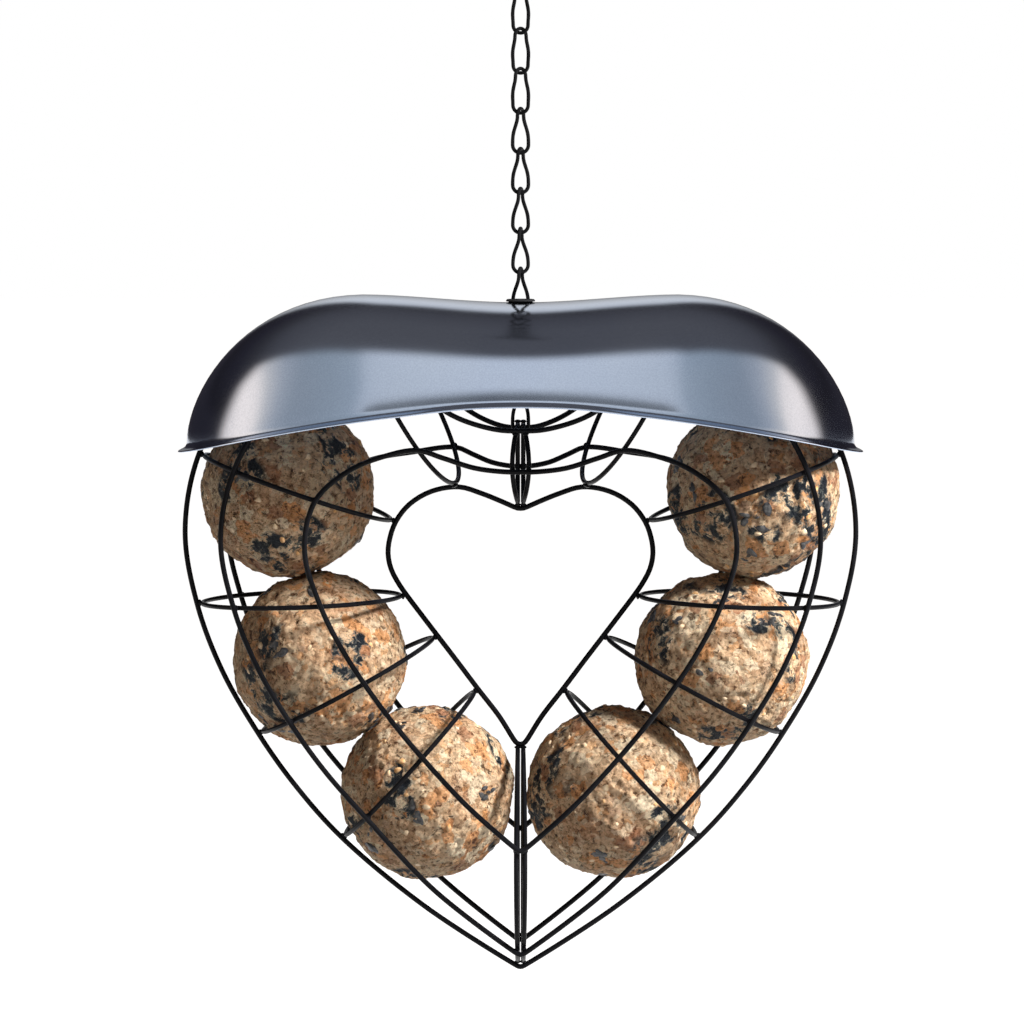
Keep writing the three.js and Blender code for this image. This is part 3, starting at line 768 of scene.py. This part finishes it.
def roof_height(x, y, inset):
    """Height of the sheet's outer face, or of its inner one with the sheet as inset."""
    past = max(abs(x) - ROOF_RIDGE_HALF, 0)
    end = ROOF_HALF_LENGTH - ROOF_RIDGE_HALF - inset
    share = min(math.hypot(past / end, y / (ROOF_HALF_DEPTH - inset)), 1)
    rim_place = abs(x) - past + past / share if share > 0 else abs(x)
    dip = 0.5 + 0.5 * math.cos(math.pi * min(abs(x) / ROOF_HUMP_PLACE, 1))
    ridge = roof_top - ROOF_HUMP_RISE * dip - inset
    rim = roof_top - ROOF_DROP + ROOF_ARCH * (1 - (rim_place / ROOF_HALF_LENGTH) ** ROOF_ARCH_POWER)
    return lerp(ridge, rim, 1 - (1 - share ** ROOF_FULLNESS_POWER) ** (1 / ROOF_SHOULDER_POWER))


def roof_rim():
    """Round the rim: a share of the ridge's half length, and the way out from there."""
    ends, sides = ROOF_END_STEPS, ROOF_SIDE_STEPS
    rim = [(1.0, -90 + 180 * i / ends) for i in range(ends)]
    rim += [(1 - 2 * i / sides, 90) for i in range(sides)]
    rim += [(-1.0, 90 + 180 * i / ends) for i in range(ends)]
    rim += [(-1 + 2 * i / sides, -90) for i in range(sides)]
    return [(spine, math.radians(turn)) for spine, turn in rim]


def roof_spoke(spine, turn, inset):
    """Points on the sheet from its hole to its rim."""
    rim_x = spine * ROOF_RIDGE_HALF + (ROOF_HALF_LENGTH - ROOF_RIDGE_HALF - inset) * math.cos(turn)
    rim_y = (ROOF_HALF_DEPTH - inset) * math.sin(turn)
    bearing = math.atan2(rim_y, rim_x)
    spoke = []
    for k in range(ROOF_RADIAL_STEPS + 1):
        share = math.sin(math.pi / 2 * k / ROOF_RADIAL_STEPS)
        x = lerp(roof_hole * math.cos(bearing), rim_x, share)
        y = lerp(roof_hole * math.sin(bearing), rim_y, share)
        spoke.append(at(x, roof_height(x, y, inset), y))
    return spoke


def add_roof():
    vertices = []
    rim = roof_rim()
    for spine, turn in rim:
        flare = eased((abs(spine) * ROOF_RIDGE_HALF - FLARE_START) / FLARE_SPAN)
        out = at(math.cos(turn), 0, math.sin(turn))
        outer = roof_spoke(spine, turn, 0)
        lip = [outer[-1] + out * lerp(steep[0], flared[0], flare) + at(0, lerp(steep[1], flared[1], flare))
               for flared, steep in zip(FLARED_LIP, STEEP_LIP)]
        vertices.extend(outer + lip + list(reversed(roof_spoke(spine, turn, ROOF_SHEET))))
    faces = row_faces(len(rim), len(vertices) // len(rim))
    obj = object_from_lists("roof_shell", [to_metres(v) for v in vertices], faces, roof_paint)
    outside = bmesh.new()
    outside.from_mesh(obj.data)
    bmesh.ops.recalc_face_normals(outside, faces=outside.faces)
    outside.to_mesh(obj.data)
    outside.free()
    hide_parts("roof")
    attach(obj, "roof")


def add_grommet():
    bore = roof_hole - GROMMET_WALL - WELD_GAP
    neck = roof_hole - WELD_GAP
    flange = roof_hole + GROMMET_FLANGE
    above = roof_height(0, 0, 0) + GROMMET_TOP_GAP
    below = roof_height(0, 0, 0) - ROOF_SHEET - 2 * WELD_GAP
    h = GROMMET_HEIGHT
    # Round the section, with softened edges: lower flange, neck, upper flange, bore
    profile = [
        (bore + 0.12, below - h * 0.9), (flange - 0.25, below - h), (flange, below - h * 0.7),
        (flange, below - 0.1), (neck, below), (neck, above), (flange - 0.1, above), (flange, above + 0.25),
        (flange - 0.2, above + h * 0.7), (flange - 0.55, above + h), (bore + 0.25, above + h),
        (bore, above + h * 0.75), (bore, below - h * 0.6)]
    vertices = []
    for i in range(GROMMET_STEPS):
        turn = 2 * math.pi * i / GROMMET_STEPS
        vertices.extend(to_metres(at(r * math.cos(turn), z, r * math.sin(turn))) for r, z in profile)
    faces = row_faces(GROMMET_STEPS, len(profile), flipped=True)
    obj = object_from_lists("grommet", vertices, faces, rubber_black)
    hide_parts("roof_grommet")
    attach(obj, "roof")


add_roof()
add_grommet()

# ---------------------------------------------------------------- fat balls

# A ball's reach in shares of its radius: before the flats and lumps, and at most
BALL_FULLNESS, BALL_LIMIT = 1.012, 1.025
FLATS = 26
FLAT_SPREAD_TURN = 2.39996
# Flats further from a direction than this don't touch it
FLAT_MIN_COSINE = 0.75
HUSK_CLUSTERS = 15
GRAIN_FLAKES = 70
# The seeds' mesh has its materials in this order
HUSK_SLOT, GRAIN_SLOT, OAT_SLOT = 0, 1, 2


def on_sphere(z, turn):
    across = math.sqrt(1 - z * z)
    return Vector((across * math.cos(turn), across * math.sin(turn), z))


def facet_planes(seed):
    """Flats that the press and the fingers leave on a ball: a direction and a reach for each."""
    planes = []
    for i in range(FLATS):
        wobble = noise.noise(Vector((i * 3.1, seed * 5.3, 0.5)))
        direction = on_sphere(1 - 2 * (i + 0.5) / FLATS, i * FLAT_SPREAD_TURN + seed * 1.7)
        planes.append((direction, 0.955 + 0.03 * wobble))
    return planes


def ball_reach(n, planes, shift):
    """How far the suet reaches in one direction, as a share of the ball's radius."""
    reach = BALL_FULLNESS
    for direction, distance in planes:
        d = n.dot(direction)
        if d > FLAT_MIN_COSINE:
            reach += min(distance / d - reach, 0) * 0.5
    p = n * 3.0 + shift
    bend = noise.noise_vector(p * 2.2) * 0.22
    reach += 0.014 * noise.noise(p * 0.9) + 0.009 * noise.noise(p * 2.4)
    chunk = noise.voronoi((p + bend) * 1.9)[0]
    reach += 0.032 * (0.3 - min(chunk[0], 0.7))
    crumb = noise.voronoi((p + bend) * 4.6)[0]
    reach += 0.024 * (0.32 - min(crumb[0], 0.7))
    reach += 0.008 * noise.noise(p * 11.0)
    pit = noise.noise(p * 3.4 + Vector((5, 5, 5)))
    if pit < -0.3:
        reach -= (-0.3 - pit) * 0.09
    return min(reach, BALL_LIMIT)


def add_ball(name, seed, mat):
    low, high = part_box(name)
    centre = (Vector(low) + Vector(high)) / 2
    radius = BALL_RADIUS * MM
    planes = facet_planes(seed)
    shift = Vector((seed * 11.3, seed * 7.1, seed * 3.7))
    made = bmesh.new()
    bmesh.ops.create_icosphere(made, subdivisions=BALL_DIVISIONS, radius=1.0)
    for v in made.verts:
        n = v.co.normalized()
        v.co = centre + n * (radius * ball_reach(n, planes, shift))
    obj = object_from_bmesh(name + "_suet", made, mat)
    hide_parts(name)
    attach(obj, "feeder")
    add_seeds(name, seed, centre, radius, planes, shift)


def add_seeds(name, seed, centre, radius, planes, shift):
    """Chips of black husk in clusters, and flakes of grain, pressed into the suet. Sizes are in metres."""
    picks = random.Random(seed * 71)
    made = bmesh.new()

    def direction():
        z = picks.uniform(-1, 1)
        return on_sphere(z, picks.uniform(0, 2 * math.pi))

    def chip(n, long, wide, thick, sink, slot):
        spin = n.cross(direction()).normalized()
        side = n.cross(spin)
        tilt = picks.uniform(-0.25, 0.25)
        up = (n + spin * tilt).normalized()
        spin = (spin - up * spin.dot(up)).normalized()
        middle = centre + n * (radius * ball_reach(n, planes, shift) - sink)
        grown = bmesh.ops.create_icosphere(made, subdivisions=SMALL_DIVISIONS, radius=1.0)
        for v in grown["verts"]:
            c = v.co.copy()
            rough = 1 + 0.22 * noise.noise(c * 1.7 + n * 40)
            curl = 0.25 * thick * (c.x * c.x)
            v.co = (middle + spin * (c.x * long * rough) + side * (c.y * wide * rough * (1 - 0.3 * c.x))
                    + up * (c.z * thick * rough - curl))
        for face in {f for v in grown["verts"] for f in v.link_faces}:
            face.material_index = slot

    for _ in range(HUSK_CLUSTERS):
        middle = direction()
        for _ in range(picks.randint(2, 6)):
            n = (middle + direction() * picks.uniform(0.02, 0.13)).normalized()
            size = picks.uniform(0.0012, 0.003)
            chip(n, size, size * picks.uniform(0.35, 0.7), 0.00055, picks.uniform(0.0, 0.0004), HUSK_SLOT)
    for _ in range(GRAIN_FLAKES):
        size = picks.uniform(0.0008, 0.0019)
        chip(direction(), size, size * picks.uniform(0.5, 0.85), size * 0.4, size * 0.12,
             picks.choice((GRAIN_SLOT, OAT_SLOT, OAT_SLOT)))
    obj = object_from_bmesh(name + "_seeds", made, seed_black, seed_grain, seed_oat)
    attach(obj, "feeder")


for hand in ("left", "right"):
    for i in (1, 2, 3):
        seed = i + (3 if hand == "right" else 0)
        add_ball(f"{hand}_fat_ball_{i}", seed, suet(f"suet_{seed}", seed))

# ---------------------------------------------------------------- stage, lamps and camera, in metres

FLOOR_GAP = 0.25
FLOOR_CORNERS = [(-12, -6), (12, -6), (12, 14), (-12, 14)]
FLOOR_COLOUR = (0.35, 0.35, 0.35)
FLOOR_GLOW = 0.97
# The studio's light on what isn't glossy
AMBIENT = (0.185, 0.142, 0.112)
LAMP_TARGET = (0, 0, -0.28)
# Name, place, width and height, watts
LAMPS = [("key", (1.75, -0.92, 1.25), (0.5, 0.5), 192), ("fill", (-1.2, -1.4, -0.1), (0.9, 0.9), 1.5)]
# What the photograph frames: its middle, in the source's millimetres, and half its width in metres
PICTURE_X, PICTURE_Z = -3.4, 183.2
PICTURE_HALF_WIDTH = 0.2048
CAMERA_DISTANCE = 2.6
CAMERA_ELEVATION = 4
CAMERA_REACH = 60


def ray_kinds(tree):
    """1 for rays that see the scene straight or through glass, and 1 for rays that a glossy surface sends."""
    path = tree.nodes.new("ShaderNodeLightPath").outputs
    straight = arithmetic(tree, "MAXIMUM", path["Is Camera Ray"], path["Is Transmission Ray"])
    return straight, path["Is Glossy Ray"]


def add_stage():
    """A pale floor that keeps the shadow, and runs into the white of the background."""
    mat = bpy.data.materials.new("stage_white")
    mat.use_nodes = True
    tree = mat.node_tree
    tree.nodes.clear()
    output = tree.nodes.new("ShaderNodeOutputMaterial")
    diffuse = tree.nodes.new("ShaderNodeBsdfDiffuse")
    diffuse.inputs["Color"].default_value = opaque(FLOOR_COLOUR)
    glow = tree.nodes.new("ShaderNodeEmission")
    seen = arithmetic(tree, "MAXIMUM", *ray_kinds(tree))
    tree.links.new(arithmetic(tree, "MULTIPLY", seen, FLOOR_GLOW), glow.inputs["Strength"])
    total = tree.nodes.new("ShaderNodeAddShader")
    tree.links.new(diffuse.outputs[0], total.inputs[0])
    tree.links.new(glow.outputs[0], total.inputs[1])
    tree.links.new(total.outputs[0], output.inputs["Surface"])
    z = cad_box[0][2] - FLOOR_GAP
    object_from_lists("floor", [(x, y, z) for x, y in FLOOR_CORNERS], [(0, 1, 2, 3)], mat, False)


def add_world():
    """White behind the object. Glossy surfaces see the studio: soft boxes in front, dark above and beside."""
    world = bpy.data.worlds.new("studio")
    scene.world = world
    world.use_nodes = True
    tree = world.node_tree
    tree.nodes.clear()
    output = tree.nodes.new("ShaderNodeOutputWorld")
    background = tree.nodes.new("ShaderNodeBackground")
    direction = tree.nodes.new("ShaderNodeTexCoord").outputs["Generated"]
    split = tree.nodes.new("ShaderNodeSeparateXYZ")
    tree.links.new(direction, split.inputs[0])
    x, y, z = split.outputs

    def halved(value):
        """From the range -1 to 1 to the range 0 to 1, for a ramp."""
        return arithmetic(tree, "MULTIPLY_ADD", value, 0.5, 0.5)

    def weighted(value, weight, other):
        return arithmetic(tree, "MULTIPLY_ADD", value, weight, other)

    across = arithmetic(tree, "ABSOLUTE", x)
    boxes = ramp(tree, weighted(y, 0.35, across), [
        (0.5, (0.44, 0.475, 0.5)), (0.64, (0.6, 0.61, 0.62)), (0.75, (0.95, 0.87, 0.78)),
        (0.82, (1.62, 1.36, 1.14)), (0.92, (1.75, 1.46, 1.22)), (0.98, (1.55, 1.3, 1.1))])
    gain = ramp(tree, across, [
        (0.0, (2.3, 2.15, 2.05)), (0.05, (2.2, 2.05, 1.95)), (0.19, (1.22, 1.24, 1.24)),
        (0.4, (1.06, 1.08, 1.08)), (0.6, (1.0, 1.0, 1.0))])
    low_front = ramp(tree, halved(weighted(across, 6.0, z)), [(0.7, 0.12), (0.8, 1.0)])
    boxes = mix(tree, 1.0, boxes, gain, "MULTIPLY")
    boxes = mix(tree, 1.0, boxes, low_front, "MULTIPLY")
    dark = ramp(tree, halved(z), [
        (0.6, (0.03, 0.027, 0.035)), (0.65, (0.02, 0.018, 0.023)), (0.75, (0.03, 0.027, 0.036)),
        (0.81, (0.05, 0.047, 0.052)), (0.875, (0.098, 0.093, 0.1)), (0.96, (0.135, 0.128, 0.132))])
    # How far back the boxes reach, by how far to the side a ray goes
    edge = ramp(tree, across, [
        (0.0, 0.4), (0.2, 0.405), (0.5, 0.51), (0.7, 0.635), (0.82, 0.62), (0.95, 0.57), (1.0, 0.55)])
    inside = arithmetic(tree, "SUBTRACT", edge, halved(y))
    in_front = ramp(tree, halved(inside), [(0.48, 0.0), (0.52, 1.0)])
    rear = ramp(tree, halved(z), [(0.54, 0.3), (0.7, 0.9)])
    behind = ramp(tree, halved(weighted(across, -0.3, weighted(z, 0.25, y))), [(0.9725, 0.0), (0.9925, 1.0)])
    studio = mix(tree, in_front, dark, boxes)
    studio = mix(tree, behind, studio, rear)
    straight, glossy = ray_kinds(tree)
    colour = mix(tree, glossy, AMBIENT, studio)
    colour = mix(tree, straight, colour, (1.0, 1.0, 1.0))
    tree.links.new(colour, background.inputs["Color"])
    tree.links.new(background.outputs[0], output.inputs["Surface"])


def add_lamp(name, place, size, power):
    """A soft box that metal doesn't mirror: the world draws what metal sees."""
    data = bpy.data.lights.new(name, "AREA")
    data.shape = "RECTANGLE"
    data.size, data.size_y = size
    data.energy = power
    lamp = bpy.data.objects.new(name, data)
    lamp.visible_glossy = False
    lamp.location = place
    lamp.rotation_euler = (Vector(LAMP_TARGET) - Vector(place)).to_track_quat("-Z", "Y").to_euler()
    scene.collection.objects.link(lamp)


def add_camera():
    aim = Vector((PICTURE_X * MM, 0, (PICTURE_Z - bearing_height) * MM))
    elevation = math.radians(CAMERA_ELEVATION)
    data = bpy.data.cameras.new("camera")
    data.sensor_fit = "HORIZONTAL"
    data.angle = 2 * math.atan(PICTURE_HALF_WIDTH / CAMERA_DISTANCE)
    data.clip_end = CAMERA_REACH
    camera = bpy.data.objects.new("camera", data)
    camera.location = aim + Vector((0, -math.cos(elevation), math.sin(elevation))) * CAMERA_DISTANCE
    camera.rotation_euler = (aim - camera.location).to_track_quat("-Z", "Y").to_euler()
    scene.collection.objects.link(camera)
    scene.camera = camera


add_stage()
add_world()
for lamp_row in LAMPS:
    add_lamp(*lamp_row)
add_camera()
scene.view_settings.view_transform = "Standard"
